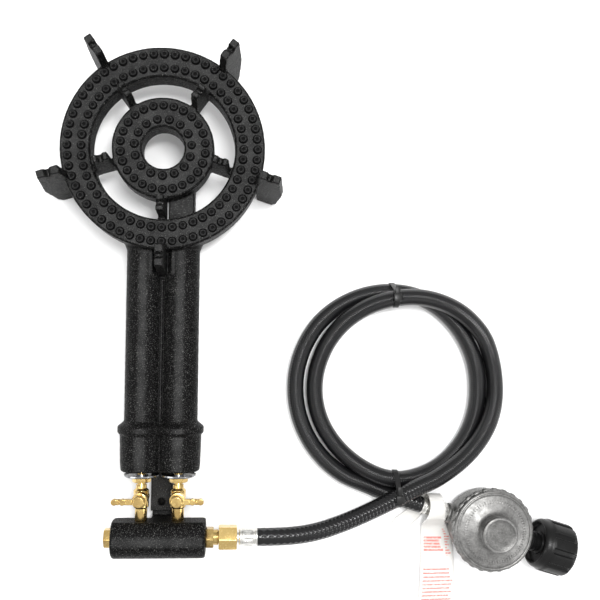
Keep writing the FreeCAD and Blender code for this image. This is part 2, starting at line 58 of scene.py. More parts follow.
INLET_Z, OUTLET_Z = 24.5, 13.0
INLET_WAY = Vector((math.cos(REG_ANGLE), math.sin(REG_ANGLE), 0))


def along(distance, z):
    """A point on the regulator's centre line, in millimetres."""
    return (REG_X + distance * INLET_WAY.x, REG_Y + distance * INLET_WAY.y, z)


# ---- camera ---------------------------------------------------------------------------------
SENSOR_WIDTH = 36.0
LENS_PER_WIDTH = 679.4 / 600                      # focal length over the frame's width
camera = bpy.data.objects.new("camera", bpy.data.cameras.new("camera"))
bpy.context.scene.collection.objects.link(camera)
camera.location = (0.0597, -0.0400, 0.6421)
camera.rotation_euler = (0.0400, -0.0587, 0.0103)
camera.data.sensor_width = SENSOR_WIDTH
camera.data.lens = LENS_PER_WIDTH * SENSOR_WIDTH
camera.data.shift_x = 0.05
camera.data.shift_y = 0.035
camera.data.clip_start = 0.01
camera.data.clip_end = 20
bpy.context.scene.camera = camera


# ---- mesh helpers ---------------------------------------------------------------------------
def new_object(name, verts, faces, sharp=40.0):
    """An object from vertices in millimetres, smooth except at edges sharper than sharp degrees."""
    mesh = bpy.data.meshes.new(name)
    mesh.from_pydata([tuple(c * MM for c in v) for v in verts], [], faces)
    bm = bmesh.new()
    bm.from_mesh(mesh)
    bmesh.ops.remove_doubles(bm, verts=bm.verts, dist=1e-6)
    bmesh.ops.recalc_face_normals(bm, faces=bm.faces)
    bm.to_mesh(mesh)
    bm.free()
    mesh.shade_smooth()
    mesh.set_sharp_from_angle(angle=math.radians(sharp))
    obj = bpy.data.objects.new(name, mesh)
    bpy.context.scene.collection.objects.link(obj)
    return obj


def basis(start, way):
    """Matrix that carries +Z from the origin to start, pointing along way, in millimetres."""
    turn = Vector((0, 0, 1)).rotation_difference(Vector(way)).to_matrix().to_4x4()
    return Matrix.Translation(Vector(start)) @ turn


def lathe_mesh(profile, segments, start=(0, 0, 0), way=(0, 0, 1), shape=None, close=True):
    """Vertices and faces of a turned profile of (radius, height).

    shape(angle, r, z) may change the radius. With close, the profile's last point joins its first.
    """
    place = basis(start, way)
    verts, faces = [], []
    for r, z in profile:
        for k in range(segments):
            a = 2 * math.pi * k / segments
            rr = shape(a, r, z) if shape else r
            verts.append(tuple(place @ Vector((rr * math.cos(a), rr * math.sin(a), z))))
    rows = len(profile)
    for i in range(rows if close else rows - 1):
        a0, b0 = i * segments, ((i + 1) % rows) * segments
        for k in range(segments):
            j = (k + 1) % segments
            faces.append((a0 + k, a0 + j, b0 + j, b0 + k))
    return verts, faces


def lathe(name, profile, segments=96, start=(0, 0, 0), way=(0, 0, 1), shape=None, close=True, sharp=40.0):
    return new_object(name, *lathe_mesh(profile, segments, start, way, shape, close), sharp)


def box_mesh(low, high):
    x0, y0, z0 = low
    x1, y1, z1 = high
    verts = [(x, y, z) for x in (x0, x1) for y in (y0, y1) for z in (z0, z1)]
    return verts, [(0, 1, 3, 2), (4, 6, 7, 5), (0, 4, 5, 1), (2, 3, 7, 6), (0, 2, 6, 4), (1, 5, 7, 3)]


def copy_of(name, *nodes, extra=()):
    """A new object from CAD nodes' own shapes, with extra (verts, faces) in millimetres joined in."""
    verts, faces = [], []
    for n in nodes:
        base = len(verts)
        verts += [tuple(c / MM for c in v.co) for v in NODES[n].data.vertices]
        faces += [tuple(base + i for i in p.vertices) for p in NODES[n].data.polygons]
    for more_verts, more_faces in extra:
        base = len(verts)
        verts += list(more_verts)
        faces += [tuple(base + i for i in f) for f in more_faces]
    return new_object(name, verts, faces)


def modify(obj, kind, **settings):
    m = obj.modifiers.new(kind.lower(), kind)
    for key, value in settings.items():
        setattr(m, key, value)
    return m


def settle(obj, sharp=None):
    """Make the modifiers' result the object's own mesh."""
    depsgraph = bpy.context.evaluated_depsgraph_get()
    mesh = bpy.data.meshes.new_from_object(obj.evaluated_get(depsgraph))
    obj.modifiers.clear()
    obj.data = mesh
    mesh.shade_smooth()
    if sharp:
        mesh.set_sharp_from_angle(angle=math.radians(sharp))
    return obj


def cast_skin(obj, voxel, smooth, roughness_mm=0.0, grain_mm=3.0):
    """Merge overlapping shells into one skin with soft inside corners, as a casting has."""
    modify(obj, "REMESH", mode="VOXEL", voxel_size=voxel * MM, use_smooth_shade=True)
    modify(obj, "SMOOTH", factor=0.5, iterations=smooth)
    if roughness_mm:
        texture = bpy.data.textures.new(obj.name, "CLOUDS")
        texture.noise_scale = grain_mm * MM
        texture.noise_depth = 2
        modify(obj, "DISPLACE", texture=texture, strength=roughness_mm * MM, mid_level=0.5)
    return settle(obj)


def machined(name, node, bevel_mm=0.35, sharp=32.0):
    """A CAD node's shape with its flat faces joined and its edges broken."""
    obj = copy_of(name, node)
    bm = bmesh.new()
    bm.from_mesh(obj.data)
    bmesh.ops.dissolve_limit(bm, angle_limit=math.radians(1.5), verts=bm.verts, edges=bm.edges)
    bm.to_mesh(obj.data)
    bm.free()
    modify(obj, "BEVEL", width=bevel_mm * MM, segments=2, limit_method="ANGLE",
           angle_limit=math.radians(30), use_clamp_overlap=True)
    return settle(obj, sharp)


def finish_piece(obj, material, body=ROOT, stands_for=()):
    """Give a piece its material or materials, its body, and the CAD nodes that it stands for."""
    obj.data.materials.clear()
    for m in material if isinstance(material, list) else [material]:
        obj.data.materials.append(m)
    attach(obj, body)
    if stands_for:
        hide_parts(*stands_for)
    return obj


# ---- materials ------------------------------------------------------------------------------
class Paint:
    """One Principled material and short ways to wire its nodes."""

    def __init__(self, name, roughness=0.5, metallic=0.0, specular=0.5, color=(0.5, 0.5, 0.5)):
        self.mat = bpy.data.materials.new(name)
        self.mat.use_nodes = True
        self.tree = self.mat.node_tree
        self.shader = self.tree.nodes["Principled BSDF"]
        self.shader.inputs["Roughness"].default_value = roughness
        self.shader.inputs["Metallic"].default_value = metallic
        self.shader.inputs["Specular IOR Level"].default_value = specular
        self.shader.inputs["Base Color"].default_value = (*color, 1)
        self.where = self.node("ShaderNodeTexCoord").outputs["Object"]
        self.normal = None

    def node(self, kind, **settings):
        n = self.tree.nodes.new(kind)
        for key, value in settings.items():
            setattr(n, key, value)
        return n

    def link(self, a, b):
        self.tree.links.new(a, b)

    def noise(self, size_mm, detail=2.0, roughness=0.5):
        n = self.node("ShaderNodeTexNoise")
        n.inputs["Scale"].default_value = 1000.0 / size_mm
        n.inputs["Detail"].default_value = detail
        n.inputs["Roughness"].default_value = roughness
        self.link(self.where, n.inputs["Vector"])
        return n.outputs["Fac"]

    def ramp(self, value, stops):
        n = self.node("ShaderNodeValToRGB")
        elements = n.color_ramp.elements
        while len(elements) < len(stops):
            elements.new(0.5)
        for e, (at, c) in zip(elements, stops):
            e.position = at
            e.color = (c, c, c, 1) if isinstance(c, float) else (*c, 1)
        self.link(value, n.inputs["Fac"])
        return n.outputs["Color"]

    def mix(self, factor, a, b):
        n = self.node("ShaderNodeMix", data_type="RGBA", blend_type="MIX")
        for value, socket in ((factor, n.inputs["Factor"]), (a, n.inputs["A"]), (b, n.inputs["B"])):
            if isinstance(value, bpy.types.NodeSocket):
                self.link(value, socket)
            elif isinstance(value, tuple):
                socket.default_value = (*value, 1)
            else:
                socket.default_value = value
        return n.outputs["Result"]

    def math(self, operation, a, b=0.0):
        n = self.node("ShaderNodeMath", operation=operation)
        for value, socket in zip((a, b), n.inputs):
            if isinstance(value, bpy.types.NodeSocket):
                self.link(value, socket)
            else:
                socket.default_value = value
        return n.outputs["Value"]

    def color(self, socket):
        self.link(socket, self.shader.inputs["Base Color"])

    def roughness(self, socket):
        self.link(socket, self.shader.inputs["Roughness"])

    def bump(self, height, distance_mm, strength=1.0):
        n = self.node("ShaderNodeBump")
        n.inputs["Distance"].default_value = distance_mm * MM
        n.inputs["Strength"].default_value = strength
        self.link(height, n.inputs["Height"])
        if self.normal:
            self.link(self.normal, n.inputs["Normal"])
        self.normal = n.outputs["Normal"]
        self.link(self.normal, self.shader.inputs["Normal"])


def iron(name, base=0.0010, speckle_and_glint=0.17, speckle_and_glint_at=0.585, painted_top_light=0.040):
    """Black textured coating on rough iron: fine grain, small pale flecks that are partly the coating's
    speckle and partly painted glints, and painted light that makes level tops a little paler.
    """
    p = Paint(name, roughness=0.46, specular=0.06)
    grain = p.noise(0.75, 3.0, roughness=0.65)
    broad = p.noise(14.0, 3.0)
    split = p.node("ShaderNodeSeparateXYZ")
    p.link(p.node("ShaderNodeTexCoord").outputs["Normal"], split.inputs["Vector"])
    # painted light: faces that point up get a paler tone, standing in for the light that falls on level tops
    up = p.ramp(split.outputs["Z"], [(0.95, 0.0), (0.999, 1.0)])
    top_light_tone = p.mix(up, (base,) * 3, (base + painted_top_light,) * 3)
    tone = p.mix(broad, top_light_tone, (base * 1.5, base * 1.5, base * 1.55))
    # pale flecks in the colour: partly the coating's own speckle, partly painted glints of sparkle on the
    # grain
    speckle_and_glint_mask = p.ramp(grain, [(speckle_and_glint_at, 0.0), (speckle_and_glint_at + 0.12, 1.0)])
    p.color(p.mix(speckle_and_glint_mask, tone, (speckle_and_glint, speckle_and_glint, speckle_and_glint * 0.96)))
    p.roughness(p.ramp(grain, [(0.35, 0.58), (0.68, 0.30)]))
    p.bump(p.noise(1.0, 3.0, roughness=0.6), 0.42)
    p.bump(p.noise(5.0, 2.0), 0.35, 0.6)
    return p.mat


def brass(name, tone=1.0, stain=0.5):
    """Machined yellow brass with faint tool lines and darker handling stains."""
    p = Paint(name, metallic=1.0)
    stains = p.ramp(p.noise(11.0, 4.0), [(0.40, 0.0), (0.66, stain)])
    clean = (0.83 * tone, 0.60 * tone, 0.235 * tone)
    stained = (0.36 * tone, 0.215 * tone, 0.075 * tone)
    p.color(p.mix(stains, clean, stained))
    p.roughness(p.ramp(p.noise(2.4, 3.0), [(0.3, 0.16), (0.7, 0.30)]))
    p.bump(p.noise(0.5, 2.0), 0.015)
    return p.mat


def steel(name, tone, low, high, bump_mm, grain):
    """Bright metal, its tone and roughness (low to high) varying in patches grain millimetres wide."""
    p = Paint(name, metallic=1.0)
    p.color(p.ramp(p.noise(grain, 4.0), [(0.3, tuple(0.72 * c for c in tone)), (0.7, tone)]))
    p.roughness(p.ramp(p.noise(grain * 0.6, 3.0), [(0.3, low), (0.7, high)]))
    p.bump(p.noise(grain * 0.25, 3.0), bump_mm)
    return p.mat


def plastic(name, base, rough):
    """Plastic, rubber, or the painted shade on a port hole's floor, in one dark tone, faintly uneven."""
    p = Paint(name, specular=0.20)
    p.color(p.mix(p.noise(5.0, 3.0), (base * 0.8,) * 3, (base * 1.35,) * 3))
    p.roughness(p.ramp(p.noise(1.6, 3.0), [(0.3, rough - 0.07), (0.7, rough + 0.08)]))
    p.bump(p.noise(0.7, 2.0), 0.05)
    return p.mat


RIB_PITCH, RIBS_AROUND = 2.3, 6.0                 # the braid's ribs: millimetres apart, and how many round it


def hose_rubber(length_mm):
    """Black hose whose smooth cover shows the braid under it as fine ribs."""
    p = Paint("hose rubber", specular=0.34)
    uv = p.node("ShaderNodeTexCoord").outputs["UV"]
    split = p.node("ShaderNodeSeparateXYZ")
    p.link(uv, split.inputs["Vector"])
    run, round_ = split.outputs["X"], split.outputs["Y"]
    ribs_along = length_mm / RIB_PITCH
    ribs = []
    for sign in (1.0, -1.0):
        lengthwise = p.math("MULTIPLY", run, ribs_along)
        crosswise = p.math("MULTIPLY", round_, RIBS_AROUND * sign)
        phase = p.math("ADD", lengthwise, crosswise)
        ribs.append(p.math("SINE", p.math("MULTIPLY", phase, 2 * math.pi)))
    height = p.math("MAXIMUM", ribs[0], ribs[1])
    p.color(p.mix(p.noise(9.0, 3.0), (0.003, 0.003, 0.0034), (0.007, 0.007, 0.0075)))
    p.roughness(p.ramp(p.noise(3.0, 3.0), [(0.3, 0.15), (0.7, 0.22)]))
    p.bump(height, 0.18)
    p.bump(p.noise(0.8, 2.0), 0.02)
    return p.mat


def zinc(name, rough_grain, pits_mm, tone):
    """Tumbled grey die casting: mottled, with darker hollows."""
    p = Paint(name, metallic=1.0)
    mottle = p.mix(0.5, p.noise(6.5, 5.0), p.noise(1.5, 4.0))
    steps = [(0.36, 0.7), (0.50, 1.0), (0.66, 1.33)]
    p.color(p.ramp(mottle, [(at, (tone * k, tone * k * 0.99, tone * k * 0.965)) for at, k in steps]))
    p.roughness(p.ramp(p.noise(rough_grain, 4.0), [(0.3, 0.36), (0.7, 0.56)]))
    p.bump(p.noise(0.9, 4.0), pits_mm)
    p.bump(p.noise(4.0, 3.0), 0.10, 0.6)
    return p.mat


def tag_paper():
    """Thin white sheet with rows of plain pale-red bars in place of its print."""
    p = Paint("tag sheet", specular=0.25)
    uv = p.node("ShaderNodeTexCoord").outputs["UV"]
    split = p.node("ShaderNodeSeparateXYZ")
    p.link(uv, split.inputs["Vector"])
    across, run = split.outputs["X"], split.outputs["Y"]

    def between(value, low, high):
        return p.math("MULTIPLY", p.math("GREATER_THAN", value, low), p.math("LESS_THAN", value, high))

    def bars(pitch, thick, run_low, run_high, left, right):
        """Bars of one height; each row ends at its own place.

        pitch and the run limits are metres along the strip. thick is the part of the pitch that a bar fills.
        left and right are parts of the strip's width.
        """
        row = p.math("FLOOR", p.math("DIVIDE", run, pitch))
        inside = p.math("LESS_THAN", p.math("FRACT", p.math("DIVIDE", run, pitch)), thick)
        ragged = p.math("FRACT", p.math("MULTIPLY", p.math("SINE", p.math("MULTIPLY", row, 12.9)), 43.7))
        edge = p.math("SUBTRACT", right, p.math("MULTIPLY", ragged, 0.14))
        wide = p.math("MULTIPLY", p.math("GREATER_THAN", across, left), p.math("LESS_THAN", across, edge))
        return p.math("MULTIPLY", p.math("MULTIPLY", inside, wide), between(run, run_low, run_high))

    heading = bars(0.0029, 0.72, 0.1070, 0.1215, 0.10, 0.72)
    beside_it = bars(0.0026, 0.5, 0.0990, 0.1250, 0.76, 0.95)
    ink = p.math("MAXIMUM", heading, beside_it)
    ink = p.math("MAXIMUM", ink, bars(0.0036, 0.42, 0.1350, 0.2350, 0.08, 0.96))
    broken = p.ramp(p.noise(1.3, 1.0), [(0.36, 0.35), (0.52, 0.85)])
    paper = p.mix(p.noise(12.0, 4.0), (0.61, 0.60, 0.575), (0.71, 0.70, 0.675))
    p.color(p.mix(p.math("MULTIPLY", ink, broken), paper, (0.66, 0.14, 0.115)))
    p.roughness(p.ramp(p.noise(2.0, 3.0), [(0.3, 0.62), (0.7, 0.78)]))
    p.bump(p.noise(0.9, 3.0), 0.05)
    p.bump(p.noise(14.0, 3.0), 0.9, 0.5)
    return p.mat


CAST = iron("cast iron coating")
CAST_LIP = iron("cast iron rubbed lip", base=0.012, speckle_and_glint=0.20, speckle_and_glint_at=0.60, painted_top_light=0.0)
# painted shadow: the near-black band round each port's foot stands in for the shade there; the manifold bolt
# also wears it as its own black finish
FOOT_SHADOW_AND_BLACK_BOLT = iron("cast iron shadowed foot", base=0.0008, speckle_and_glint=0.005, speckle_and_glint_at=0.70, painted_top_light=0.0)
# painted shade: the shallow port holes get a near-black floor and walls for the shade of a deep hole
HOLE_SHADE = plastic("port hole painted shade", 0.0035, 0.85)
BRASS = brass("brass", tone=0.78)
BRASS_DARK = brass("brass handled", tone=0.60, stain=0.85)
BRASS_BRIGHT = brass("brass flare nut", tone=0.90, stain=0.22)
CHROME = steel("chromed steel", (0.30, 0.305, 0.315), 0.12, 0.24, 0.004, 6.0)
PLATED = steel("plated steel", (0.74, 0.73, 0.70), 0.24, 0.40, 0.05, 3.0)
ZINC = zinc("die cast zinc", 3.0, 0.05, 0.205)
ZINC_CAP = zinc("die cast zinc, grained", 1.4, 0.14, 0.145)
NUT_PLASTIC = plastic("moulded black plastic", 0.0045, 0.34)
TIE_NYLON = plastic("black nylon", 0.012, 0.36)
SEAL = plastic("seal rubber", 0.018, 0.6)
TAG = tag_paper()


# ---- burner casting -------------------------------------------------------------------------
def rounded_ring(low, high, z0, z1, r=1.6):
    """A ring's section with rounded outside corners."""
    steps = [math.radians(a) for a in (0, 30, 60, 90)]
    corners = ((high - r, z0 + r, -90), (high - r, z1 - r, 0), (low + r, z1 - r, 90), (low + r, z0 + r, 180))
    section = []
    for cx, cz, turn in corners:
        for step in steps:
            angle = step + math.radians(turn)
            section.append((cx + r * math.cos(angle), cz + r * math.sin(angle)))
    return section


CAST_NODES = ("outer_pot_supports", "spoke_pot_supports", "left_mixing_tube", "right_mixing_tube",
              "rear_foot")
# voxel sizes of the cast skins, in millimetres
CASTING_VOXEL = 0.8
SMALL_VOXEL = 0.6
FLARE_STEPS, FLARE_LENGTH, FLARE_SLOPE = 5, 12, 0.42


def shoulder(side, tube_end):
    """One tube's rib and the short bar that starts it, and its end swelling out to meet the ring's rim."""
    x = side * 8.6
    bar_low, bar_high = sorted((x, side * 5.2))
    parts = [box_mesh((x - 1.1, tube_end - 21, AXIS_Z), (x + 1.1, tube_end + 4, AXIS_Z + 15.2)),
             box_mesh((bar_low, tube_end - 23, AXIS_Z), (bar_high, tube_end - 20.6, AXIS_Z + 13.8))]
    for k in range(FLARE_STEPS):
        reach = 1.2 + 1.5 * k
        r = TUBE_R + FLARE_SLOPE * reach
        profile = [(0.01, 0), (r, 0), (r, FLARE_LENGTH), (0.01, FLARE_LENGTH)]
        parts.append(lathe_mesh(profile, 48, (side * TUBE_X, tube_end + 1 + reach, AXIS_Z), (0, 1, 0)))
    return parts


def casting():
    """Rings, tubes, rear foot and supports as one rough cast skin."""
    extra = [lathe_mesh(rounded_ring(low, high, RING_BOTTOM, RING_TOP), 256, (0, HEAD_Y, 0))
             for low, high in RINGS]
    tube_end = HEAD_Y - RINGS[0][1]
    # a thin web in the groove between the tubes
    extra.append(box_mesh((-0.9, -146.0, AXIS_Z), (0.9, tube_end - 24, AXIS_Z + 10.2)))
    for side in (-1, 1):
        extra += shoulder(side, tube_end)
    body = copy_of("burner_casting", *CAST_NODES, extra=extra)
    cast_skin(body, CASTING_VOXEL, 4, 0.30, 4.0)
    finish_piece(body, CAST, stands_for=CAST_NODES + ("outer_ring", "inner_ring"))


# radius, height above the deck, and the material of the band that ends there: 1 rubbed lip, 2 hole with
# painted shade, 3 foot with a painted shadow
PORT_SECTION = [(3.95, -0.5, 3), (3.88, 0.14, 3), (3.1, 0.2, 3), (2.92, 0.9, 3), (2.78, 1.7, 3),
                (2.62, 2.08, 1), (2.3, 2.26, 1), (1.9, 2.2, 1), (1.56, 1.9, 1), (1.4, 1.3, 2),
                (1.32, 0.25, 2), (0.02, 0.22, 2)]
PORT_SIDES = 20
HOLE_FROM = 8                                     # from this point on, the section is the hole's


def port_points(centre, size, slip):
    """One port's vertices, with its hole off centre by slip."""
    points = []
    for i, (r, z, _) in enumerate(PORT_SECTION):
        off_x, off_y = slip if i >= HOLE_FROM else (0.0, 0.0)
        for s in range(PORT_SIDES):
            t = 2 * math.pi * s / PORT_SIDES
            x = centre[0] + off_x + r * size * math.cos(t)
            y = centre[1] + off_y + r * size * math.sin(t)
            points.append((x, y, centre[2] + z))
    return points


def gas_ports():
    """Every raised port: a foot band with a painted shadow, a rubbed lip, and a hole painted dark for its
    shade.
    """
    verts, faces, kinds = [], [], []
    rng = np.random.default_rng(7)
    for radius, count in PORT_ROWS:
        for k in range(count):
            a = math.radians(360.0 * k / count + FIRST_PORT)
            at = (radius * math.cos(a), HEAD_Y + radius * math.sin(a), RING_TOP)
            size = 1 + rng.uniform(-0.05, 0.05)
            slip = rng.uniform(-0.16, 0.16, 2)
            base = len(verts)
            verts += port_points(at, size, slip)
            for i in range(len(PORT_SECTION) - 1):
                low = base + i * PORT_SIDES
                high = low + PORT_SIDES
                for s in range(PORT_SIDES):
                    j = (s + 1) % PORT_SIDES
                    faces.append((low + s, low + j, high + j, high + s))
                    kinds.append(PORT_SECTION[i + 1][2])
    mesh = bpy.data.meshes.new("gas_ports")
    mesh.from_pydata([tuple(c * MM for c in v) for v in verts], [], faces)
    mesh.shade_smooth()
    obj = bpy.data.objects.new("gas_ports", mesh)
    bpy.context.scene.collection.objects.link(obj)
    finish_piece(obj, [CAST, CAST_LIP, HOLE_SHADE, FOOT_SHADOW_AND_BLACK_BOLT])
    for polygon, kind in zip(mesh.polygons, kinds):
        polygon.material_index = kind


casting()
gas_ports()
manifold = cast_skin(copy_of("manifold_casting", "manifold"), SMALL_VOXEL, 3, 0.25, 4.0)
finish_piece(manifold, CAST, stands_for=["manifold"])

# ---- brass and steel fittings ---------------------------------------------------------------
for side in ("left", "right"):
    body = machined(side + "_cock", side + "_cock_body", 0.25)
    finish_piece(body, BRASS, stands_for=[side + "_cock_body"])
    lever = cast_skin(copy_of(side + "_lever_handle", side + "_cock_lever"), 0.28, 2)
    finish_piece(lever, BRASS, side + "_lever", [side + "_cock_lever"])
    lock_nut = machined(side + "_hex_lock_nut", side + "_lock_nut")
    finish_piece(lock_nut, BRASS, side + "_shutter_carrier", [side + "_lock_nut"])
    key_nut = machined(side + "_hex_key_nut", side + "_key_nut", 0.2)
    finish_piece(key_nut, BRASS_DARK, side + "_lever", [side + "_key_nut"])

# piece, CAD node, width of its broken edges in millimetres, material, slot and body
HEXAGONS = (("hex_end_plug", "manifold_end_plug", 0.35, BRASS, "brass", ROOT),
            ("hex_inlet_adapter", "inlet_adapter", 0.35, BRASS_DARK, "brass", ROOT),
            ("hex_hose_nut", "hose_nut", 0.45, BRASS_BRIGHT, "brass", "hose_nut_body"),
            ("hex_manifold_bolt", "manifold_bolt", 0.35, FOOT_SHADOW_AND_BLACK_BOLT, "plated_steel", ROOT),
            ("hex_outlet_fitting", "outlet_fitting", 0.35, PLATED, "plated_steel", ROOT))
for name, node, edge, material, slot, rides_on in HEXAGONS:
    finish_piece(machined(name, node, edge), material, rides_on, [node])

FERRULE_R, FERRULE_BORE = 7.75, 4.2
PRESS_START, PRESS_STOP, PRESS_DEPTH = 4.2, 4.9, 0.55      # from each end of the sleeve, and how deep


def crimped_ferrule(name, node, start, way, length):
    """A bright sleeve pressed to eight flats between its plain ends."""
    r = FERRULE_R
    profile = [(FERRULE_BORE, 0), (r - 1.0, 0), (r - 0.5, 0.7), (r - 0.45, 2.6), (r - 0.1, 3.2), (r, 3.8)]
    profile += [(r, 3.8 + (length - 8.4) * k / 8) for k in range(1, 9)]
    profile += [(r - 0.75, length - 3.8), (r - 0.8, length - 2.6), (r - 0.05, length - 1.9)]
    profile += [(r, length - 0.6), (r - 0.5, length), (FERRULE_BORE, length)]

    def press(angle, radius, z):
        if not PRESS_START < z < length - PRESS_STOP or radius < 7:
            return radius
        return radius - PRESS_DEPTH * (0.5 + 0.5 * math.cos(8 * angle)) ** 2

    obj = lathe(name, profile, 128, start, way, press, sharp=28)
    return finish_piece(obj, PLATED, stands_for=[node])


crimped_ferrule("inlet_crimp", "inlet_ferrule", (69.6, MANIFOLD_Y, AXIS_Z), (1, 0, 0), 16.4)
outlet_crimp = crimped_ferrule("outlet_crimp", "outlet_ferrule", along(-44.0, OUTLET_Z),
                               tuple(-INLET_WAY), 18.0)

# ---- hose -----------------------------------------------------------------------------------
LEAD_IN = [(86, -205.5, 38), (111, -205.5, 38), (138, -202.6, 35.4), (164, -195.2, 31.2),
           (188, -185.8, 28.6), (210, -175.6, 27.8)]
LEAD_OUT = [(185, -164.6, 9.3), (203, -172.0, 9.4), along(-80.0, OUTLET_Z), along(-62.0, OUTLET_Z)]
LOW = 9.1                                         # height of the hose's centre where it lies on the floor
# bearing in degrees, radius and height of the hose's centre, where the turns change side or cross
TURNS = [(-80, 91.4, 27.2), (-57, 87.4, 25.4), (-40, 88.2, 24.2), (-15, 91.6, 19.4), (4, 94.9, LOW),
         (15, 94.9, LOW + 1), (30, 94.2, 17.6), (50, 90.8, 23.6), (76, 85.8, 25.4), (95, 81.8, 25.2),
         (120, 79.2, 19.6), (140, 77.4, 12), (160, 76.6, LOW), (225, 79.0, LOW), (240, 81.0, 11.6),
         (255, 83.4, 16.4), (267, 85.6, 17.4), (279, 86.0, 11.8), (290, 85.8, LOW), (303, 84.6, LOW),
         (320, 82, LOW), (345, 79.2, LOW), (362, 78.1, LOW), (390, 80.2, LOW), (410, 83, LOW),
         (436, 88, LOW), (452, 89.6, LOW), (480, 92.2, LOW), (500, 94.2, LOW), (536, 95.4, LOW),
         (600, 96.4, LOW)]


def hose_route():
    bearings, radii, heights = zip(*TURNS)
    steps = np.arange(-80.0, 601.0, 10.0)
    coil = []
    for bearing, r, z in zip(steps, np.interp(steps, bearings, radii), np.interp(steps, bearings, heights)):
        a = math.radians(bearing)
        coil.append((COIL_X + r * math.cos(a), COIL_Y + r * math.sin(a), z))
    return LEAD_IN + coil + LEAD_OUT


def nurbs(name, points, radius):
    """A round tube along one smooth spline with these control points, in millimetres."""
    curve = bpy.data.curves.new(name, "CURVE")
    curve.dimensions = "3D"
    spline = curve.splines.new("NURBS")
    spline.points.add(len(points) - 1)
    for control, p in zip(spline.points, points):
        control.co = (*(c * MM for c in p), 1)
    spline.order_u = 3
    spline.use_endpoint_u = True
    spline.resolution_u = 8
    curve.bevel_depth = radius * MM
    curve.bevel_resolution = 8
    obj = bpy.data.objects.new(name, curve)
    bpy.context.scene.collection.objects.link(obj)
    return obj


def centre_line(obj):
    """The points of a curve's own line, in millimetres."""
    bare = obj.data.copy()
    bare.bevel_depth = 0
    helper = bpy.data.objects.new("helper", bare)
    bpy.context.scene.collection.objects.link(helper)
    bpy.context.view_layer.update()
    mesh = bpy.data.meshes.new_from_object(helper.evaluated_get(bpy.context.evaluated_depsgraph_get()))
    line = np.array([v.co for v in mesh.vertices]) / MM
    bpy.data.objects.remove(helper)
    return line


hose = nurbs("gas_hose", hose_route(), HOSE_R)
line = centre_line(hose)
hose_length = float(np.linalg.norm(np.diff(line, axis=0), axis=1).sum())
hose.data.materials.append(hose_rubber(hose_length))
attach(hose, ROOT)
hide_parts("hose_lead_in", "hose_coil", "hose_lead_out")


def strands_at(x, y_low, y_high):
    """Where the hose's line passes the plane at x, as (y, z)."""
    found = []
    for a, b in zip(line, line[1:]):
        if (a[0] - x) * (b[0] - x) <= 0 and a[0] != b[0]:
            p = a + (b - a) * (x - a[0]) / (b[0] - a[0])
            if y_low < p[1] < y_high:
                found.append((p[1], p[2]))
    return found


def hull(points):
    """The convex outline round points in a plane."""
    points = sorted(set(points))

    def bends_in(a, b, c):
        return (b[0] - a[0]) * (c[1] - a[1]) <= (b[1] - a[1]) * (c[0] - a[0])

    def half(sequence):
        out = []
        for p in sequence:
            while len(out) > 1 and bends_in(out[-2], out[-1], p):
                out.pop()
            out.append(p)
        return out[:-1]

    return half(points) + half(points[::-1])


STRAP_GAP, STRAP_LOW, STRAP_FLOOR = 0.05, 1.35, 0.15       # off the hose, and lowest inner and outer points


def cable_tie(name, node, x, y_low, y_high):
    """A flat nylon strap drawn tight round the strands, its square head and a cut tail."""
    around = []
    reach = HOSE_R + STRAP_GAP
    for y, z in strands_at(x, y_low, y_high):
        for k in range(48):
            a = 2 * math.pi * k / 48
            height = max(z + reach * math.sin(a), STRAP_LOW)
            around.append((round(y + reach * math.cos(a), 4), round(height, 4)))
    loop = hull(around)
    centre = np.mean(loop, axis=0)
    verts, faces = [], []
    section = ((-2.4, 0.0), (-2.2, 1.1), (2.2, 1.1), (2.4, 0.0))
    for y, z in loop:
        out = np.array((y, z)) - centre
        out = out / np.linalg.norm(out)
        for across, up in section:
            verts.append((x + across, y + out[0] * up, max(z + out[1] * up, STRAP_FLOOR)))
    count = len(loop)
    for i in range(count):
        j = (i + 1) % count
        for s in range(4):
            t = (s + 1) % 4
            faces.append((4 * i + s, 4 * i + t, 4 * j + t, 4 * j + s))
    top_y, top_z = max(loop, key=lambda p: p[1])
    for low, high in (((x - 3.6, top_y - 3.2, top_z - 0.2), (x + 3.6, top_y + 3.4, top_z + 3.6)),
                      ((x - 2.2, top_y + 3.2, top_z + 1.4), (x + 2.2, top_y + 11, top_z + 2.5))):
        more_verts, more_faces = box_mesh(low, high)
        base = len(verts)
        verts += more_verts
        faces += [tuple(base + i for i in f) for f in more_faces]
    obj = new_object(name, verts, faces)
    modify(obj, "BEVEL", width=0.35 * MM, segments=2, limit_method="ANGLE", angle_limit=math.radians(40))
    settle(obj, 35)
    return finish_piece(obj, TIE_NYLON, stands_for=[node])


top_tie = cable_tie("top_strap", "top_cable_tie", 211.4, -20, 40)
bottom_tie = cable_tie("bottom_strap", "bottom_cable_tie", 213.4, -200, -140)

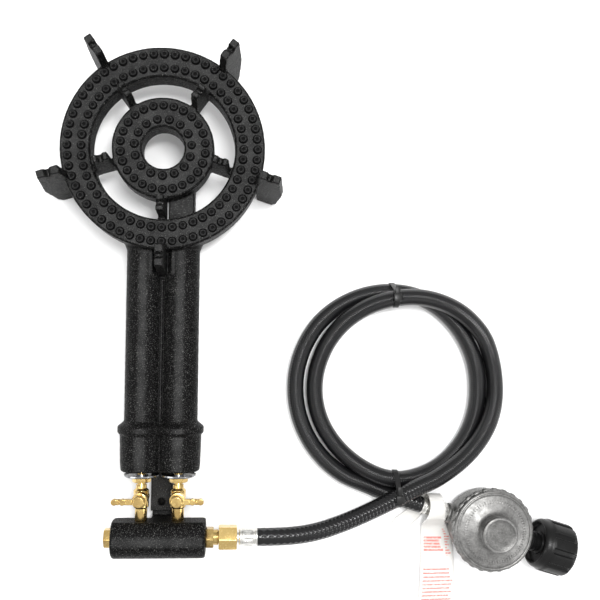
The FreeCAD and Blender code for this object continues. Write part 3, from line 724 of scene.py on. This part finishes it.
# ---- regulator ------------------------------------------------------------------------------
def regulator_body():
    """Die-cast housing: bowl, notched crimped flange, stepped cover and its tower."""
    profile = [(0.02, 0), (21.4, 0), (22.6, 0.5), (24.4, 3.2), (29.8, 5.2), (32.4, 8.2), (33, 10),
               (33, 30.6), (33.8, 31.6), (36.4, 32.1), (37.2, 32.8), (37.3, 35.4), (36.6, 36.5),
               (35.9, 36.9), (35.9, 38.6), (35.2, 39.6), (34.2, 39.9), (33.6, 39.3), (33.0, 39.3),
               (32.4, 40.0), (31.6, 40.6), (30.6, 40.8), (26, 41.9), (21.5, 43.0), (18.6, 43.9),
               (17.2, 44.8), (16.4, 46.4), (15.7, 50.6), (15.2, 51.2), (0.02, 51.2)]

    def crimp(angle, radius, z):
        if radius < 36.2:
            return radius
        return radius + 0.45 * math.tanh(2.2 * math.sin(26 * angle))

    obj = lathe("regulator_housing", profile, 312, (REG_X, REG_Y, 0), (0, 0, 1), crimp, close=False, sharp=50)
    return finish_piece(obj, ZINC, stands_for=["regulator_cover"])


housing = regulator_body()


TICKS = 72
SLOPE_R, SLOPE_Z, SLOPE_FALL, TICK_SUNK = 21.5, 43.0, 0.245, 0.35      # the cover's slope, and depth in it


def cover_ticks():
    """Plain raised marks, all alike and evenly spaced, round the cover's slope."""
    verts, faces = [], []
    corners, box_faces = box_mesh((25.4, -0.45, 0), (28.2, 0.45, 0.75))
    for k in range(TICKS):
        a = 2 * math.pi * k / TICKS
        base = len(verts)
        for x, y, z in corners:
            across = REG_X + x * math.cos(a) - y * math.sin(a)
            back = REG_Y + x * math.sin(a) + y * math.cos(a)
            verts.append((across, back, SLOPE_Z - (x - SLOPE_R) * SLOPE_FALL - TICK_SUNK + z))
        faces += [tuple(base + i for i in f) for f in box_faces]
    obj = new_object("cover_ticks", verts, faces)
    modify(obj, "BEVEL", width=0.2 * MM, segments=2)
    settle(obj, 35)
    return finish_piece(obj, ZINC)


ticks = cover_ticks()
bosses = cast_skin(copy_of("regulator_lower_case", "regulator_case"), SMALL_VOXEL, 2)
finish_piece(bosses, ZINC, stands_for=["regulator_case"])
CAP_PROFILE = [(0.02, 51.3), (14.8, 51.3), (15.7, 51.7), (15.9, 52.4), (15.9, 53.3), (15.5, 54.0),
               (14.7, 54.5), (13.9, 54.6), (13.3, 54.3), (13.0, 54.05), (8, 54.1), (0.02, 54.15)]
cap = lathe("grained_vent_cap", CAP_PROFILE, 128, (REG_X, REG_Y, 0), close=False, sharp=60)
finish_piece(cap, [ZINC_CAP, ZINC], stands_for=["vent_cap"])
# the cap's raised rim is smoother than its middle
for polygon in cap.data.polygons:
    axis_point = Vector((REG_X * MM, REG_Y * MM, polygon.center.z))
    reach = (Vector(polygon.center) - axis_point).length / MM
    polygon.material_index = 1 if 13.2 < reach < 15.6 and polygon.center.z > 53.5 * MM else 0

# the nut's pockets: how many, depth, radius, half width, and how steep their sides are
POCKETS, POCKET_DEPTH, POCKET_R, POCKET_HALF, POCKET_EDGE = 10, 1.7, 23, 2.3, 6
LAND_R, NUT_START = 23.6, 45.8


def grip_nut():
    """Black grip nut: wide lands, narrow pockets open to the far end, and a hollow back."""
    profile = [(7.3, -8.0), (8.8, -8.0), (9.2, -7.6), (9.2, -5.8), (8.3, -5.2), (8.2, -2.6), (9.1, -2.1),
               (9.1, -0.6), (8.4, 0.0), (8.5, 2.0), (9.6, 2.4), (10.2, 3.6), (17.2, 3.6), (17.9, 2.4),
               (18.4, 0.4), (19.6, 0.0), (21.0, 0.8), (22.0, 2.6), (22.5, 5.0), (22.9, 6.8), (23.3, 7.4)]
    profile += [(LAND_R, 8.0 + 18.5 * k / 10) for k in range(11)]
    profile += [(LAND_R - 0.3, 27.6), (LAND_R - 1.1, 29.0), (LAND_R - 2.6, 29.9), (20.2, 30.0),
                (17.4, 30.0), (16.9, 29.5), (16.8, 5.0), (7.3, 5.0)]

    def pocket(angle, radius, z):
        if radius < 21.4 or z < 7.9:
            return radius
        nearest = abs((angle * POCKETS / (2 * math.pi)) % 1 - 0.5)
        beyond = nearest * 2 * math.pi * POCKET_R / POCKETS - POCKET_HALF
        return radius - POCKET_DEPTH / (1 + math.exp(beyond * POCKET_EDGE))

    obj = lathe("grip_nut", profile, 300, along(NUT_START, INLET_Z), tuple(INLET_WAY), pocket, sharp=35)
    return finish_piece(obj, NUT_PLASTIC, "hand_nut_body", ["hand_nut"])


grip_nut()
nipple = machined("turned_inlet_nipple", "inlet_nipple", 0.3)
finish_piece(nipple, BRASS_DARK, stands_for=["inlet_nipple"])

# ---- warning tag ----------------------------------------------------------------------------
# the strip's centre line from its short end, under and over the hose, to its long end, with its width
TAG_LINE = [(222, -206, 0.7, 20), (229, -198, 1.6, 22), (239, -188.5, 3.2, 17),
            (246.5, -179.5, 3.4, 13.5), (250, -174.2, 9, 12.5), (250.5, -174.2, 17, 12.5),
            (251, -179.2, 22.8, 13), (251.2, -186, 23.6, 14), (251.0, -193.5, 21.0, 17),
            (251.0, -199, 14.0, 20), (253.5, -205.5, 5.6, 24.5), (256.0, -214.5, 2.2, 29),
            (257.0, -226, 1.6, 31), (257.2, -240, 2.4, 32.4), (257.2, -254, 3.2, 33.6),
            (257.0, -268, 2.0, 34.6), (257.0, -281, 1.3, 35.4), (257.0, -292, 2.6, 36),
            (257.0, -299.4, 4.2, 36)]
TAG_STEPS, TAG_COLUMNS = 150, 12


def tag_rows():
    """The strip's line and width, as a smooth curve through TAG_LINE."""
    keys = np.array(TAG_LINE, float)
    rows = []
    for value in np.linspace(0, len(keys) - 1, TAG_STEPS):
        i = min(int(value), len(keys) - 2)
        f = value - i
        p0, p1, p2, p3 = (keys[min(max(k, 0), len(keys) - 1)] for k in (i - 1, i, i + 1, i + 2))
        linear = (p2 - p0) * f
        square = (2 * p0 - 5 * p1 + 4 * p2 - p3) * f ** 2
        cube = (3 * p1 - p0 - 3 * p2 + p3) * f ** 3
        rows.append(0.5 * (2 * p1 + linear + square + cube))
    return np.array(rows)


def tag_height(z, s, u):
    """Height of the strip at s along it and u across: waves, a dish near the loop, edges drooping over it."""
    waves = 0.9 * math.sin(s / 19.0 + 2.2 * u) * min(1.0, max(0.0, (s - 95) / 30))
    dish = 2.4 * (2 * u - 1) ** 2 * max(0.0, 1 - abs(s - 62) / 30)
    droop = 1.2 * (2 * u - 1) ** 2 * (z > 20)
    return max(z + (waves + dish) - droop, 0.45)


def warning_tag():
    """One limp strip, cut narrower where it loops round the hose."""
    rows = tag_rows()
    run = np.concatenate([[0], np.cumsum(np.linalg.norm(np.diff(rows[:, :3], axis=0), axis=1))])
    verts, uvs = [], []
    for (x, y, z, width), s in zip(rows, run):
        for c in range(TAG_COLUMNS + 1):
            u = c / TAG_COLUMNS
            verts.append((x + (u - 0.5) * width, y, tag_height(z, s, u)))
            uvs.append((u, s * MM))
    faces = []
    for i in range(TAG_STEPS - 1):
        for c in range(TAG_COLUMNS):
            a = i * (TAG_COLUMNS + 1) + c
            faces.append((a, a + 1, a + TAG_COLUMNS + 2, a + TAG_COLUMNS + 1))
    mesh = bpy.data.meshes.new("warning_tag_strip")
    mesh.from_pydata([tuple(v * MM for v in p) for p in verts], [], faces)
    layer = mesh.uv_layers.new(name="UVMap")
    for loop in mesh.loops:
        layer.data[loop.index].uv = uvs[loop.vertex_index]
    mesh.shade_smooth()
    obj = bpy.data.objects.new("warning_tag_strip", mesh)
    bpy.context.scene.collection.objects.link(obj)
    modify(obj, "SOLIDIFY", thickness=0.25 * MM, offset=0.0)
    settle(obj)
    finish_piece(obj, TAG, stands_for=["warning_tag"])
    width = rows[:, 3].max()
    area = float(((rows[1:, 3] + rows[:-1, 3]) / 2 * np.diff(run)).sum())
    return obj, width * MM, run[-1] * MM, area * MM * MM


tag, tag_width, tag_length, tag_area = warning_tag()

# ---- the CAD nodes that stay, with their finishes -------------------------------------------
KEPT = {"left_cock_key": BRASS_DARK, "right_cock_key": BRASS_DARK,
        "left_gas_jet": BRASS, "right_gas_jet": BRASS,
        "left_air_shutter": CHROME, "right_air_shutter": CHROME,
        "hose_stem": PLATED, "diaphragm": SEAL, "nipple_seal": SEAL, "diaphragm_plate": PLATED,
        "regulator_spring": PLATED, "spring_adjuster": ZINC, "valve_lever": PLATED}
for node, material in KEPT.items():
    NODES[node].data.materials.clear()
    NODES[node].data.materials.append(material)

# ---- floor and light ------------------------------------------------------------------------
bpy.ops.mesh.primitive_plane_add(size=30, location=(0.13, 0, -0.0002))
floor = bpy.context.object
floor.name = "floor"
ground = Paint("floor white", roughness=0.9, specular=0.1, color=(0.94, 0.94, 0.94))
floor.data.materials.append(ground.mat)

world = bpy.data.worlds.new("studio")
bpy.context.scene.world = world
world.use_nodes = True
sky = world.node_tree
direction = sky.nodes.new("ShaderNodeTexCoord")
height = sky.nodes.new("ShaderNodeSeparateXYZ")
shade = sky.nodes.new("ShaderNodeValToRGB")
sky.links.new(direction.outputs["Generated"], height.inputs["Vector"])
sky.links.new(height.outputs["Z"], shade.inputs["Fac"])
sky.links.new(shade.outputs["Color"], sky.nodes["Background"].inputs["Color"])
# the sky is greyer at the horizon than overhead
horizon, overhead = shade.color_ramp.elements
horizon.position = 0.00
horizon.color = (0.62, 0.62, 0.62, 1)
overhead.position = 0.90
overhead.color = (1, 1, 1, 1)
sky.nodes["Background"].inputs["Strength"].default_value = 1.05


def softbox(name, location, target, size, power):
    """A rectangular light, size metres wide and high, turned to face target."""
    light = bpy.data.lights.new(name, "AREA")
    light.shape = "RECTANGLE"
    light.size = size[0]
    light.size_y = size[1]
    light.energy = power
    obj = bpy.data.objects.new(name, light)
    bpy.context.scene.collection.objects.link(obj)
    obj.location = location
    obj.rotation_mode = "QUATERNION"
    obj.rotation_quaternion = (Vector(target) - Vector(location)).to_track_quat("-Z", "Y")


softbox("key", (0.24, 0.10, 1.10), (0.12, 0.0, 0.0), (0.14, 0.34), 9.0)
softbox("top fill", (-0.10, 0.35, 1.30), (0.10, 0.0, 0.0), (0.5, 0.5), 4.0)
softbox("left fill", (-0.85, -0.30, 0.75), (0.0, 0.0, 0.0), (0.25, 0.8), 3.0)
softbox("right fill", (1.05, -0.60, 0.60), (0.2, -0.1, 0.0), (0.25, 0.7), 3.0)
bpy.context.scene.view_settings.view_transform = "Standard"
